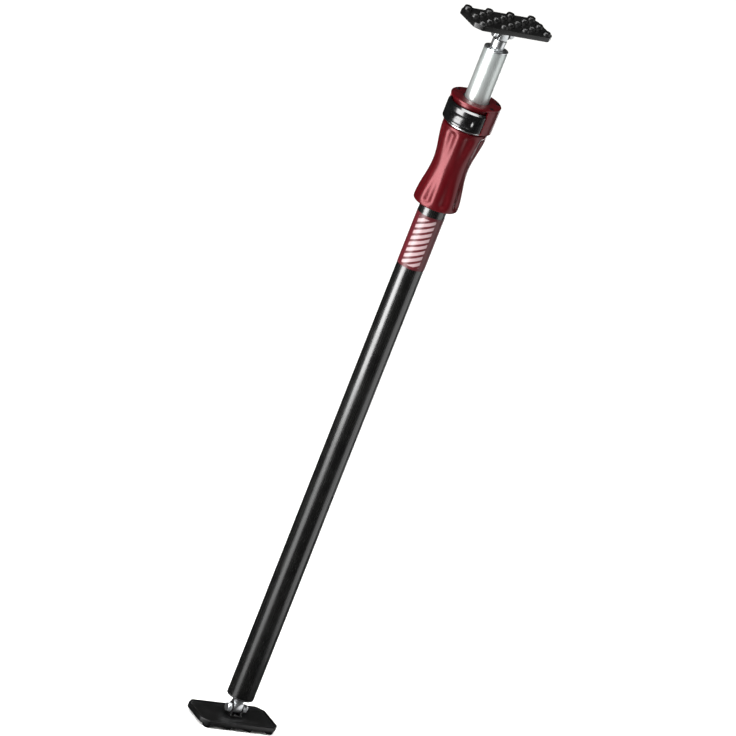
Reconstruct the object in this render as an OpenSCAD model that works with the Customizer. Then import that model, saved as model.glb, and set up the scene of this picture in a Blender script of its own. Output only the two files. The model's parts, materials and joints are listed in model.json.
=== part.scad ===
// Telescopic drywall support pole, standing closed on its lower pad.
// Heights are measured from the floor; the pole stands on the Z axis and the pads' long sides run along X.

/* [Tubes] */
// Outside diameter of the black outer tube
outer_tube_d = 35; // [25:0.5:60]
// Wall of the outer tube
outer_wall = 1.25; // [1:0.05:3]
// Length of the outer tube
outer_tube_len = 791; // [500:1:1200]
// Outside diameter of the zinc plated inner tube
inner_tube_d = 30.5; // [20:0.5:50]
// Wall of the inner tube
inner_wall = 1.25; // [1:0.05:3]
// How far the inner tube stands above the outer tube when the pole is closed
inner_tube_out = 109; // [80:1:200]
// Gap between the piston guide and the lower stud when the pole is closed
closed_gap = 3; // [1:0.5:40]
// Length of the label band along the tube
label_len = 71; // [20:1:120]
// Bare tube between the label band and the grip
label_gap = 13; // [2:1:60]
// Thickness of the label band
label_t = 0.2; // [0.1:0.05:0.5]
// Distance between neighbouring thread grooves
thread_pitch = 5; // [3:0.5:8]
// Depth of the thread grooves
thread_depth = 0.5; // [0.3:0.05:0.8]
// How far above the grip's lower end the thread starts
thread_start = 3; // [0:0.5:20]

/* [Tube guides and plugs] */
// Length of the guide bush inside the outer tube
bush_len = 30; // [15:1:60]
// Flange thickness of the guide bush
bush_flange_t = 2; // [1:0.5:4]
// Height of the sliding part of the piston guide
piston_len = 12; // [8:1:30]
// Length of the piston guide held in the inner tube
piston_shank_len = 20; // [10:1:40]
// Diameter of the hole through the piston guide
piston_bore_d = 16; // [8:1:20]
// Length of a tube plug inside its tube
plug_len = 24; // [15:1:50]
// Flange thickness of a tube plug
plug_flange_t = 2; // [1:0.5:4]

/* [Pads] */
// Length of a pad
pad_len = 112; // [80:1:200]
// Width of a pad
pad_w = 56; // [40:1:120]
// Chamfer at the four corners of a pad
pad_chamfer = 9; // [4:0.5:20]
// Rubber under the steel plate, without the knobs
pad_rubber_t = 3; // [2:0.5:8]
// Rubber rim around the steel plate
pad_rim = 4; // [2:0.5:8]
// How far the rubber rim stands above the plate
pad_rim_rise = 0.5; // [0:0.1:2]
// Thickness of the steel plate
plate_t = 3; // [1.5:0.5:6]
// Height of a rubber knob
knob_h = 4.5; // [1:0.5:6]
// Diameter of a knob where it joins the pad
knob_d = 11.6; // [5:0.2:14]
// Diameter of a knob at its end
knob_end_d = 9; // [4:0.2:12]
// Distance between knobs along the pad
knob_pitch = 30.5; // [15:0.5:40]
// Distance between rows of knobs
knob_row = 10.4; // [8:0.2:16]

/* [Pad joints] */
// Height of the cross bolt above the plate
pin_rise = 9.5; // [9:0.5:25]
// Diameter of the cross bolt
bolt_d = 6; // [5:0.5:12]
// Size across flats of the bolt head and nut
bolt_flats = 10; // [8:0.5:20]
// Height of the bolt head
bolt_head_h = 4; // [3:0.1:9]
// Height of the hexagon of the nut
nut_h = 5; // [4:0.1:10]
// Height of the locking ring on the nut
nut_ring_h = 1.2; // [0.5:0.1:3]
// Diameter of the locking ring on the nut
nut_ring_d = 8.6; // [6:0.2:16]
// How far the bolt stands out of the nut
bolt_over = 1.5; // [0.5:0.1:4]
// Thickness of a washer
washer_t = 1.2; // [0.8:0.1:3]
// Diameter of a washer
washer_d = 12; // [10:0.5:24]
// Thickness of the bracket steel
bracket_t = 2; // [1.5:0.5:5]
// Width of the bracket's base
bracket_w = 18; // [12:1:30]
// Width of a bracket ear
ear_w = 14; // [10:1:20]
// Diameter of a rivet shank
rivet_d = 3; // [2:0.5:6]
// Diameter of a rivet head
rivet_head_d = 5; // [4:0.5:10]
// Height of a rivet head
rivet_head_h = 0.8; // [0.6:0.1:2]
// Distance of a rivet from the middle of the bracket
rivet_off = 6; // [3:0.5:8]
// Thickness of the eye between the bracket ears
eye_t = 12; // [8:0.5:20]
// Diameter of the eye
eye_d = 13; // [10:0.5:24]
// Diameter of the lower stem at the tube plug
lower_stem_d = 18.8; // [12:0.2:24]
// Diameter of the lower stem at the eye
lower_neck_d = 13; // [12:0.2:24]
// Diameter of the upper stem, which has no taper
upper_stem_d = 17.8; // [12:0.2:24]
// Distance from the lower cross bolt to the tube plug
lower_reach = 17; // [14:0.5:30]
// Distance from the upper cross bolt to the tube plug
upper_reach = 20; // [14:0.5:30]
// Diameter of the stem inside the tube plug
shank_d = 12; // [8:0.5:20]
// How far the stem stands out of the plug at its hidden end
shank_over = 3; // [2:0.5:6]
// Thickness of a snap ring on a stem
clip_t = 1.2; // [0.8:0.1:2]
// Radial width of a snap ring outside its stem
clip_w = 2.5; // [1.5:0.1:4]
// Depth of a snap ring groove in a stem
clip_depth = 0.8; // [0.4:0.1:1.5]

/* [Grip] */
// Length of the grip
grip_len = 107; // [90:1:200]
// How far the grip stands above the outer tube
grip_over = 6; // [4:0.5:12]
// Wall of the grip over the sleeve at the waist
grip_wall = 2.6; // [2:0.1:6]
// How far the grip's ends flare out beyond its waist
grip_flare = 5.9; // [3:0.1:9]
// Rounding of the grip's lower edge
grip_edge = 2.4; // [1:0.2:5]
// Number of finger flutes
flute_count = 8; // [5:1:12]
// Direction of the first finger flute
flute_dir = 31; // [0:1:360]
// Diameter of the cutter that forms a flute
flute_d = 15; // [8:0.5:20]
// Part of the flare that a flute cuts away at the ends of the grip
flute_share = 0.42; // [0.2:0.01:0.6]
// Plain rim between the end of a flute and the end of the grip
grip_rim = 10; // [6:0.5:16]
// Lip that closes the grip's lower end
grip_lip_t = 3; // [2:0.5:6]
// Wall of the threaded sleeve over the outer tube
sleeve_wall = 2.5; // [2:0.1:5]
// Threaded length of the sleeve
sleeve_thread_len = 34; // [20:1:60]
// Extra radius of the wider bore above the thread
sleeve_relief = 0.8; // [0.4:0.1:1.2]
// How far the sleeve stands above the grip
sleeve_over = 10; // [8:0.5:12]
// Radial width of the sleeve's snap ring outside the sleeve
sleeve_clip_w = 3; // [2:0.1:4]
// Thickness of the sleeve's snap ring
sleeve_clip_t = 1.5; // [1:0.1:2.5]
// Depth of the sleeve's snap ring groove
sleeve_clip_depth = 0.9; // [0.5:0.1:1.2]
// Radial width of the thrust washer
thrust_w = 6; // [4:0.1:7]
// Thickness of the thrust washer
thrust_t = 2; // [1:0.5:4]

/* [Collar] */
// Outside diameter of the collar
collar_d = 64.2; // [50:0.5:90]
// Length of the collar with its cap
collar_len = 34.5; // [34:0.5:60]
// Thickness of the collar cap
cap_t = 3; // [2:0.5:6]
// Thickness of the collar floor
collar_floor_t = 4; // [3:0.5:6]
// Wall of the collar
collar_wall = 3; // [2:0.5:5]
// Small chamfer on the collar's edges
collar_edge = 1.2; // [0.5:0.1:3]
// Direction that the release lever faces
lever_dir = 204; // [0:1:360]
// Half of the angle that the release lever covers
lever_half = 68; // [40:1:80]
// Angle between the lever's end and the collar wall
lever_gap_angle = 2; // [1:0.5:4]
// Thickness of the lever's shell
lever_t = 3.3; // [2:0.1:5]
// Chamfer on the lever's upper and lower edges
lever_edge = 2.4; // [1:0.1:3]
// Depth of the finger hollow in the lever
hollow_depth = 2.2; // [0.5:0.1:2.5]
// Radius of the finger hollow
hollow_r = 11; // [8:0.5:30]
// How far the finger hollow sits below the middle of the lever
hollow_drop = 2.4; // [0:0.2:5]
// Half of the angle that the finger hollow covers
hollow_half = 46; // [20:1:60]
// Free travel above the lever
lever_travel = 5.4; // [4:0.1:8]
// Gap below the lever
lever_gap = 0.8; // [0.3:0.1:2]
// Half width of the block that holds the plates
lever_block_half = 11; // [8:0.5:15]
// Height of the block that holds the plates
lever_block_h = 10.6; // [8:0.1:14]
// Depth of the red skirt that closes the gap over the lever
skirt_h = 6.2; // [4:0.1:10]
// Wall of the skirt
skirt_t = 1.8; // [1:0.1:3]
// Gap between the skirt and the lever's shell
skirt_gap = 1.3; // [1:0.1:2]

/* [Clutch] */
// Thickness of a clutch plate
clutch_t = 3; // [2:0.5:5]
// Gap between the two clutch plates
clutch_gap = 0.2; // [0.1:0.05:0.5]
// Width of a clutch plate around its hole
clutch_w = 8.8; // [7:0.1:10]
// Tilt of the clutch plates while they hold the tube
clutch_tilt = 5; // [3:0.5:8]
// Distance of the plates' pivot from the pole axis
pivot_off = 25.8; // [22:0.1:30]
// Middle of the plates above the collar's underside, at the pole axis
clutch_rise = 15.8; // [15:0.1:30]
// Extra radius of the hole in a clutch plate
clutch_hole_extra = 0.3; // [0.2:0.05:0.5]
// Half width of the rear tab of a plate
tab_half = 7; // [4:0.5:10]
// Length of the rear tab beyond the pivot
tab_over = 2.2; // [1.8:0.1:2.6]
// Diameter of the pin on which the plates pivot
pivot_pin_d = 3; // [2:0.5:4]
// Half width of the front tongue of a plate
tongue_half = 8; // [4:0.5:10]
// Gap between the front tongue and the lever's shell
tongue_gap = 0.5; // [0.2:0.1:1]
// Diameter of a pin that holds the lever on the plates
lever_pin_d = 3; // [2:0.5:4]
// Length of a lever pin
lever_pin_len = 9.6; // [8:0.1:12]
// Sideways distance of a lever pin
lever_pin_side = 4.4; // [3:0.1:6]
// Distance of the lever pins from the pole axis
lever_pin_off = 26.7; // [25.5:0.1:27.5]
// Outside diameter of a clutch spring
spring_d = 6; // [4:0.5:8]
// Wire diameter of a clutch spring
spring_wire = 0.9; // [0.5:0.1:1.5]
// Number of turns of a clutch spring
spring_turns = 5.5; // [3:0.5:8]
// Forward distance of a clutch spring
spring_off = 19; // [17:0.5:21]
// Sideways distance of a clutch spring
spring_side = 9; // [8:0.5:12]
// Distance of a cap screw from the pole axis
screw_off = 27.8; // [26:0.1:29]
// Diameter of a cap screw
screw_d = 3; // [2:0.5:4]
// Length of a cap screw under its head
screw_len = 11; // [6:0.5:20]
// Diameter of a cap screw head
screw_head_d = 5.6; // [4:0.2:7]
// Height of a cap screw head
screw_head_h = 1.7; // [1:0.1:2.5]
// Diameter of a screw boss in the collar
boss_d = 6; // [5:0.2:8]
// Radial width of the wiper ring
wiper_w = 3.2; // [2.5:0.1:5]
// Height of the wiper ring
wiper_h = 2.2; // [1.5:0.1:4]
// Width of the cap's lip over the wiper ring
cap_lip = 1.5; // [1:0.1:2.5]

/* [Fits] */
// Radial clearance of parts that turn or slide on each other
run_clear = 0.05; // [0.02:0.01:0.1]
// Radial clearance of the sliding piston guide
slide_clear = 0.08; // [0.05:0.01:0.1]
// Radial clearance of parts that are pressed together
press_clear = 0.01; // [0.005:0.005:0.02]
// Radial clearance of loose parts
free_clear = 0.2; // [0.1:0.05:0.5]

/* [Hidden] */
$fn = 96;
cut = 1;
outer_r = outer_tube_d / 2;
outer_bore_r = outer_r - outer_wall;
inner_r = inner_tube_d / 2;
inner_bore_r = inner_r - inner_wall;
bolt_r = bolt_d / 2;
shank_r = shank_d / 2;
sleeve_r = outer_r + sleeve_wall;
clip_r = shank_r + clip_w;
thrust_r = sleeve_r + thrust_w;
grip_waist_r = sleeve_r + grip_wall;
grip_end_r = grip_waist_r + grip_flare;
wiper_r = inner_r + wiper_w;
clutch_r = inner_r + clutch_hole_extra + clutch_w;
tab_reach = pivot_off + tab_over;
collar_r = collar_d / 2;
pin_z = knob_h + pad_rubber_t + plate_t + pin_rise;
plate_z = knob_h + pad_rubber_t;
bracket_z = plate_z + plate_t;
ear_out = eye_t / 2 + run_clear * 2 + bracket_t;
ear_in = eye_t / 2 + run_clear * 2;
lower_flange_z = pin_z + lower_reach;
outer_tube_bottom = lower_flange_z + plug_flange_t;
outer_tube_top = outer_tube_bottom + outer_tube_len;
inner_tube_top = outer_tube_top + inner_tube_out;
inner_tube_bottom = outer_tube_bottom + plug_len + shank_over + closed_gap + piston_len;
upper_flange_z = inner_tube_top + plug_flange_t;
total_h = upper_flange_z + upper_reach + pin_z;
grip_top = outer_tube_top + grip_over;
grip_bottom = grip_top - grip_len;
label_bottom = grip_bottom - label_gap - label_len;
thread_bottom = grip_bottom + thread_start;
thread_count = floor((outer_tube_top - thread_bottom) / thread_pitch);
sleeve_top = grip_top + sleeve_over;
collar_bottom = grip_top + thrust_t;
collar_top = collar_bottom + collar_len;
clutch_mid = collar_bottom + clutch_rise;
cap_z = collar_top - cap_t;
lever_bottom = collar_bottom + lever_gap;
lever_top = cap_z - lever_travel;
lever_in_r = collar_r - lever_t;
window_half = lever_half + lever_gap_angle;
window_r = lever_in_r - skirt_t / 4;
skirt_r = lever_in_r - skirt_gap;
tongue_reach = lever_in_r - tongue_gap;
pivot_z = clutch_mid + pivot_off * tan(clutch_tilt);
stack_half = clutch_t + clutch_gap / 2;
block_mid = pivot_z - (pivot_off + lever_pin_off) * tan(clutch_tilt);
spring_bottom = pivot_z + stack_half / cos(clutch_tilt) + clutch_gap / 4
    - (pivot_off + spring_off - spring_d / 2) * tan(clutch_tilt);
spring_len = cap_z - spring_bottom;
grip_waist_z = (grip_bottom + grip_top) / 2;
grip_half = (grip_top - grip_bottom) / 2;
grip_steps = 14;
edge_share = 0.29;
corner_share = 2 - sqrt(2);
screw_angles = [82, 140, 220, 278];
piston_z = inner_tube_bottom - piston_len;

// Sub-part to show, or all of them

// A plain ring between two heights
module ring(out_r, in_r, from_z, to_z) {
    difference() {
        translate([0, 0, from_z]) cylinder(r = out_r, h = to_z - from_z);
        translate([0, 0, from_z - cut]) cylinder(r = in_r, h = to_z - from_z + 2 * cut);
    }
}

// A cylinder along X, centred on the pole axis at the cross bolt's height
module cross_pin(r, from_x, to_x) {
    translate([from_x, 0, pin_z]) rotate([0, 90, 0]) cylinder(r = r, h = to_x - from_x);
}

// A box given by its half width and half depth
module block(half_x, half_y, from_z, to_z) {
    translate([-half_x, -half_y, from_z]) cube([2 * half_x, 2 * half_y, to_z - from_z]);
}

// Puts an end assembly at the upper end, turned over
module at_top() {
    translate([0, 0, total_h]) mirror([0, 0, 1]) children();
}

// Outline of a pad, made smaller by an inset
module pad_outline(inset) {
    hx = pad_len / 2 - inset;
    hy = pad_w / 2 - inset;
    c = pad_chamfer - inset * corner_share;
    polygon([[-hx + c, -hy], [hx - c, -hy], [hx, -hy + c], [hx, hy - c],
        [hx - c, hy], [-hx + c, hy], [-hx, hy - c], [-hx, -hy + c]]);
}

// One row of rubber knobs
module knob_line(count, y) {
    for (i = [0 : count - 1]) {
        translate([(i - (count - 1) / 2) * knob_pitch, y, 0])
            cylinder(d1 = knob_end_d, d2 = knob_d, h = knob_h);
    }
}

// Rubber pad with a pocket for the steel plate and staggered knobs underneath
module rubber_pad() {
    color("#1a1a1a") {
        difference() {
            translate([0, 0, knob_h]) linear_extrude(height = pad_rubber_t + plate_t + pad_rim_rise) pad_outline(0);
            translate([0, 0, plate_z]) linear_extrude(height = plate_t + pad_rim_rise + cut) pad_outline(pad_rim);
        }
        for (row = [-2 : 2]) knob_line(row % 2 == 0 ? 4 : 3, row * knob_row);
    }
}

// Steel plate that stiffens the pad
module pad_plate() {
    color("#202020") difference() {
        translate([0, 0, plate_z]) linear_extrude(height = plate_t) pad_outline(pad_rim);
        rivet_holes(rivet_d / 2 + press_clear);
    }
}

// Holes for the two rivets
module rivet_holes(r) {
    for (side = [-1, 1]) {
        translate([0, side * rivet_off, plate_z - cut]) cylinder(r = r, h = plate_t + bracket_t + 2 * cut);
    }
}

// Bracket with two ears for the cross bolt
module bracket() {
    color("#1c1c1c") difference() {
        union() {
            block(ear_out, bracket_w / 2, bracket_z, bracket_z + bracket_t);
            for (side = [-1, 1]) {
                ear(side > 0 ? ear_in : -ear_out);
            }
        }
        rivet_holes(rivet_d / 2 + press_clear);
        cross_pin(bolt_r + press_clear, -ear_out - cut, ear_out + cut);
    }
}

// One ear of the bracket with its rounded end
module ear(from_x) {
    translate([from_x, -ear_w / 2, bracket_z]) cube([bracket_t, ear_w, pin_z - bracket_z]);
    cross_pin(ear_w / 2, from_x, from_x + bracket_t);
}

// Two rivets between the ears
module rivets() {
    color("#2a2a2a") for (side = [-1, 1]) {
        translate([0, side * rivet_off, plate_z]) {
            cylinder(d = rivet_d, h = plate_t + bracket_t + rivet_head_h / 2);
            translate([0, 0, plate_t + bracket_t])
                cylinder(d1 = rivet_head_d, d2 = rivet_d, h = rivet_head_h);
        }
    }
}

// Cross bolt with its hexagon head on the -X side
module pivot_bolt() {
    seat = ear_out + washer_t;
    color("#d0d2d4") {
        cross_pin(bolt_r, -seat - bolt_head_h / 2, seat + nut_h + nut_ring_h + bolt_over);
        translate([-seat - bolt_head_h, 0, pin_z]) rotate([0, 90, 0])
            cylinder(d = bolt_flats / cos(30), h = bolt_head_h, $fn = 6);
    }
}

// Washers outside the ears
module washers() {
    color("#d4d6d8") for (side = [-1, 1]) {
        difference() {
            cross_pin(washer_d / 2, side > 0 ? ear_out : -ear_out - washer_t,
                side > 0 ? ear_out + washer_t : -ear_out);
            cross_pin(bolt_r + press_clear, -ear_out - 2 * washer_t, ear_out + 2 * washer_t);
        }
    }
}

// Locking nut on the +X side
module pivot_nut() {
    seat = ear_out + washer_t;
    color("#d0d2d4") difference() {
        union() {
            translate([seat, 0, pin_z]) rotate([0, 90, 0])
                cylinder(d = bolt_flats / cos(30), h = nut_h, $fn = 6);
            cross_pin(nut_ring_d / 2, seat + nut_h / 2, seat + nut_h + nut_ring_h);
        }
        cross_pin(bolt_r + press_clear, seat - cut, seat + nut_h + nut_ring_h + cut);
    }
}

// Stud whose eye swings on the cross bolt and whose stem turns in the tube plug
module swivel_stud(reach, neck_d, stem_d) {
    plug_end = pin_z + reach + plug_flange_t + plug_len;
    color("#c4c6c8") difference() {
        union() {
            cross_pin(eye_d / 2, -eye_t / 2, eye_t / 2);
            block(eye_t / 2, eye_d / 2, pin_z, pin_z + ear_w / 2 + clip_t);
            translate([0, 0, pin_z + ear_w / 2 + clip_t / 2])
                cylinder(d1 = neck_d, d2 = stem_d, h = reach - ear_w / 2 - clip_t / 2);
            translate([0, 0, pin_z + reach - cut])
                cylinder(r = shank_r, h = plug_flange_t + plug_len + shank_over + cut);
        }
        cross_pin(bolt_r + run_clear, -eye_t / 2 - cut, eye_t / 2 + cut);
        ring(shank_r + cut, shank_r - clip_depth, plug_end + run_clear, plug_end + run_clear + clip_t);
    }
}

// Snap ring that keeps the stem in the plug
module stud_clip(reach) {
    plug_end = pin_z + reach + plug_flange_t + plug_len;
    color("#8a8d90") difference() {
        ring(clip_r, shank_r - clip_depth + press_clear, plug_end + run_clear,
            plug_end + run_clear + clip_t);
        translate([0, -clip_depth, plug_end - cut])
            cube([2 * clip_r, 2 * clip_depth, clip_t + 2 * cut]);
    }
}

// Plug pressed into a tube end, with a bore for the stem
module tube_plug(reach, bore_r, flange_r) {
    flange_z = pin_z + reach;
    color("#26282a") difference() {
        union() {
            translate([0, 0, flange_z]) cylinder(r = flange_r, h = plug_flange_t);
            translate([0, 0, flange_z]) cylinder(r = bore_r - press_clear, h = plug_flange_t + plug_len);
        }
        translate([0, 0, flange_z - cut])
            cylinder(r = shank_r + run_clear, h = plug_flange_t + plug_len + 2 * cut);
    }
}

// Outer tube with thread grooves near its upper end
module outer_tube_body() {
    color("#161616") difference() {
        ring(outer_r, outer_bore_r, outer_tube_bottom, outer_tube_top);
        for (i = [0 : thread_count - 1]) {
            thread_groove(thread_bottom + i * thread_pitch);
        }
    }
}

// One groove of the thread
module thread_groove(z) {
    land = thread_pitch / 4;
    rotate_extrude() polygon([[outer_r - thread_depth, z + land / 2], [outer_r + cut, z - land],
        [outer_r + cut, z + 3 * land], [outer_r - thread_depth, z + 3 * land / 2]]);
}

// Red label band around the outer tube
module label() {
    color("#8a1522") ring(outer_r + label_t, outer_r, label_bottom, label_bottom + label_len);
}

// Plastic bush that guides the inner tube at the top of the outer tube
module guide_bush() {
    color("#d8d8d2") difference() {
        union() {
            translate([0, 0, outer_tube_top - bush_len]) cylinder(r = outer_bore_r - press_clear, h = bush_len);
            translate([0, 0, outer_tube_top]) cylinder(r = outer_r - free_clear, h = bush_flange_t);
        }
        translate([0, 0, outer_tube_top - bush_len - cut])
            cylinder(r = inner_r + run_clear, h = bush_len + bush_flange_t + 2 * cut);
    }
}

function grip_share(u) = (1 - cos(180 * u)) / 2;
function grip_r(u) = grip_waist_r + grip_flare * grip_share(abs(u));

// Hourglass grip with finger flutes that fade out at the waist
module grip_body() {
    flute_off = grip_end_r - grip_flare * flute_share + flute_d / 2;
    wall = [for (i = [-grip_steps : grip_steps]) let (u = i / grip_steps)
        [grip_r(u), grip_waist_z + u * (grip_half - grip_edge)]];
    color("#7d0710") difference() {
        rotate_extrude() polygon(concat(
            [[sleeve_r + press_clear, grip_top], [sleeve_r + press_clear, grip_bottom + grip_lip_t],
                [outer_r + free_clear, grip_bottom + grip_lip_t], [outer_r + free_clear, grip_bottom],
                [grip_end_r - grip_edge, grip_bottom],
                [grip_end_r - grip_edge * edge_share, grip_bottom + grip_edge * edge_share]],
            wall, [[grip_end_r - grip_edge * edge_share, grip_top - grip_edge * edge_share],
                [grip_end_r - grip_edge, grip_top]]));
        for (i = [0 : flute_count - 1]) {
            rotate([0, 0, flute_dir + i * 360 / flute_count]) translate([flute_off, 0, 0]) flute();
        }
    }
}

// Cutter for one flute, round at both ends
module flute() {
    translate([0, 0, grip_bottom + grip_rim]) cylinder(d = flute_d, h = 2 * (grip_half - grip_rim));
    for (z = [grip_bottom + grip_rim, grip_top - grip_rim]) {
        translate([0, 0, z]) sphere(d = flute_d);
    }
}

// Threaded steel sleeve moulded into the grip; its upper end passes through the collar floor
module screw_sleeve() {
    low = grip_bottom + grip_lip_t;
    clip_z = collar_bottom + collar_floor_t + run_clear;
    color("#9a9da0") difference() {
        translate([0, 0, low]) cylinder(r = sleeve_r, h = sleeve_top - low);
        translate([0, 0, low - cut]) cylinder(r = outer_r + run_clear, h = sleeve_top - low + 2 * cut);
        translate([0, 0, low + sleeve_thread_len]) cylinder(r = outer_r + sleeve_relief, h = sleeve_top - low);
        ring(sleeve_r + cut, sleeve_r - sleeve_clip_depth, clip_z, clip_z + sleeve_clip_t);
    }
}

// Snap ring that keeps the collar on the sleeve
module screw_sleeve_clip() {
    clip_z = collar_bottom + collar_floor_t + run_clear;
    color("#8a8d90") rotate([0, 0, lever_dir]) difference() {
        ring(sleeve_r + sleeve_clip_w, sleeve_r - sleeve_clip_depth + press_clear, clip_z, clip_z + sleeve_clip_t);
        translate([-2 * sleeve_r, -sleeve_clip_t, clip_z - cut])
            cube([2 * sleeve_r, 2 * sleeve_clip_t, sleeve_clip_t + 2 * cut]);
    }
}

// Washer between the turning grip and the collar
module grip_thrust_washer() {
    color("#b0b2b4") ring(thrust_r, sleeve_r + run_clear, grip_top, collar_bottom);
}

// A sector of a ring, centred on the lever's direction
module sector(out_r, in_r, from_z, to_z, half) {
    rotate([0, 0, -half]) rotate_extrude(angle = 2 * half)
        polygon([[in_r, from_z], [out_r, from_z], [out_r, to_z], [in_r, to_z]]);
}

// A bar along the pivot of the plates, in the lever's frame
module pivot_bar(r, half) {
    translate([-pivot_off, half, pivot_z]) rotate([90, 0, 0]) cylinder(r = r, h = 2 * half);
}

// Pin between the two plates on which they pivot
module clutch_pivot_pin_body() {
    color("#b8babc") rotate([0, 0, lever_dir]) pivot_bar(pivot_pin_d / 2, tab_half + collar_wall - run_clear * 2);
}

// Red collar housing with the clutch chamber, open on the lever's side
module housing() {
    color("#7d0710") rotate([0, 0, lever_dir]) difference() {
        union() {
            difference() {
                rotate_extrude() polygon([[sleeve_r + run_clear, collar_bottom],
                    [collar_r - collar_edge, collar_bottom], [collar_r, collar_bottom + collar_edge],
                    [collar_r, cap_z], [collar_r - collar_wall, cap_z],
                    [collar_r - collar_wall, collar_bottom + collar_floor_t],
                    [sleeve_r + run_clear, collar_bottom + collar_floor_t]]);
                sector(collar_r + cut, window_r, collar_bottom - cut, cap_z + cut, window_half);
            }
            for (a = screw_angles) {
                rotate([0, 0, a]) translate([screw_off, 0, collar_bottom + collar_floor_t / 2])
                    cylinder(d = boss_d, h = cap_z - collar_bottom - collar_floor_t / 2);
            }
            translate([-collar_r + collar_wall / 2, -tab_half - collar_wall, collar_bottom + collar_floor_t / 2])
                cube([collar_r - pivot_off + cut - collar_wall / 2, 2 * (tab_half + collar_wall),
                    cap_z - collar_bottom - collar_floor_t / 2]);
        }
        for (a = screw_angles) {
            rotate([0, 0, a]) translate([screw_off, 0, cap_z - screw_len - cut])
                cylinder(r = screw_d / 2 + press_clear, h = screw_len + 2 * cut);
        }
        translate([-tab_reach - run_clear * 8, -tab_half - run_clear * 4, pivot_z - stack_half - run_clear * 6])
            cube([tab_reach, 2 * (tab_half + run_clear * 4), 2 * (stack_half + run_clear * 6)]);
        pivot_bar(pivot_pin_d / 2 + press_clear, tab_half + collar_wall + cut);
    }
}

// Cap that closes the collar, with a skirt behind the lever's upper edge
module cap() {
    color("#7d0710") rotate([0, 0, lever_dir]) difference() {
        union() {
            rotate_extrude() polygon([[wiper_r - cap_lip, cap_z + wiper_h], [wiper_r, cap_z + wiper_h],
                [wiper_r, cap_z], [collar_r, cap_z], [collar_r, collar_top - collar_edge],
                [collar_r - collar_edge, collar_top], [wiper_r - cap_lip, collar_top]]);
            sector(skirt_r, skirt_r - skirt_t, cap_z - skirt_h, cap_z + cap_t / 2,
                window_half - lever_gap_angle);
        }
        for (a = screw_angles) {
            rotate([0, 0, a]) translate([screw_off, 0, cap_z - cut])
                cylinder(r = screw_d / 2 + press_clear, h = cap_t + 2 * cut);
            rotate([0, 0, a]) translate([screw_off, 0, collar_top - screw_head_h])
                cylinder(r = screw_head_d / 2 + press_clear, h = screw_head_h + cut);
        }
    }
}

// Screws that hold the cap
module screws() {
    seat = collar_top - screw_head_h;
    color("#202224") rotate([0, 0, lever_dir]) for (a = screw_angles) {
        rotate([0, 0, a]) translate([screw_off, 0, 0]) difference() {
            union() {
                translate([0, 0, seat - screw_len]) cylinder(d = screw_d, h = screw_len + screw_head_h / 2);
                translate([0, 0, seat]) cylinder(d = screw_head_d, h = screw_head_h);
            }
            translate([0, 0, collar_top - screw_head_h / 2])
                cylinder(d = screw_d / 2, h = screw_head_h, $fn = 6);
        }
    }
}

// Wiper ring in the cap, sliding on the inner tube
module wiper() {
    color("#141414") ring(wiper_r - press_clear, inner_r + run_clear, cap_z, cap_z + wiper_h);
}

// Places plates and pins in their tilted holding position
module tilted() {
    rotate([0, 0, lever_dir]) translate([-pivot_off, 0, pivot_z]) rotate([0, clutch_tilt, 0])
        translate([pivot_off, 0, 0]) children();
}

// Outline of the clutch plate stack between two levels
module plate_outline(from_z, to_z, extra) {
    translate([0, 0, from_z]) cylinder(r = clutch_r, h = to_z - from_z);
    translate([-tab_reach, -tab_half, from_z]) cube([tab_reach, 2 * tab_half, to_z - from_z]);
    translate([0, -tongue_half - extra, from_z])
        cube([tongue_reach + extra, 2 * (tongue_half + extra), to_z - from_z]);
}

// Two clutch plates that grip the inner tube while they are tilted
module plates() {
    color("#b8babc") tilted() for (side = [0, 1]) {
        low = side == 0 ? -stack_half : clutch_gap / 2;
        hole_x = (pivot_off - (low + clutch_t / 2) * sin(clutch_tilt)) / cos(clutch_tilt) - pivot_off;
        difference() {
            plate_outline(low, low + clutch_t, 0);
            translate([hole_x, 0, low - cut]) cylinder(r = inner_r + clutch_hole_extra, h = clutch_t + 2 * cut);
            translate([-pivot_off, tab_half + cut, 0]) rotate([90, 0, 0])
                cylinder(r = pivot_pin_d / 2 + run_clear, h = 2 * (tab_half + cut));
            lever_pin_holes(low - cut, low + clutch_t + cut);
        }
    }
}

// Holes for the lever pins, in the frame of the plates
module lever_pin_holes(from_z, to_z) {
    for (side = [-1, 1]) {
        translate([lever_pin_off, side * lever_pin_side, from_z])
            cylinder(r = lever_pin_d / 2 + press_clear, h = to_z - from_z);
    }
}

// Pins that join the lever to the plates
module pins() {
    color("#b8babc") tilted() for (side = [-1, 1]) {
        translate([lever_pin_off, side * lever_pin_side, -lever_pin_len / 2])
            cylinder(d = lever_pin_d, h = lever_pin_len);
    }
}

// Glossy black release lever wrapped around the front of the collar
module lever() {
    color("#101011") difference() {
        rotate([0, 0, lever_dir]) union() {
            difference() {
                rotate([0, 0, -lever_half]) rotate_extrude(angle = 2 * lever_half)
                    polygon([[lever_in_r, lever_bottom], [collar_r - lever_edge, lever_bottom],
                        [collar_r, lever_bottom + lever_edge], [collar_r, lever_top - lever_edge],
                        [collar_r - lever_edge, lever_top], [lever_in_r, lever_top]]);
                finger_hollow();
            }
            union() {
                sector(lever_in_r + lever_t / 3, clutch_r + free_clear, block_mid - lever_block_h / 2,
                    block_mid + lever_block_h / 2, asin(lever_block_half / lever_in_r));
            }
        }
        tilted() plate_outline(-stack_half, stack_half, press_clear);
        tilted() lever_pin_holes(-lever_pin_len / 2, lever_pin_len / 2);
    }
}

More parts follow.
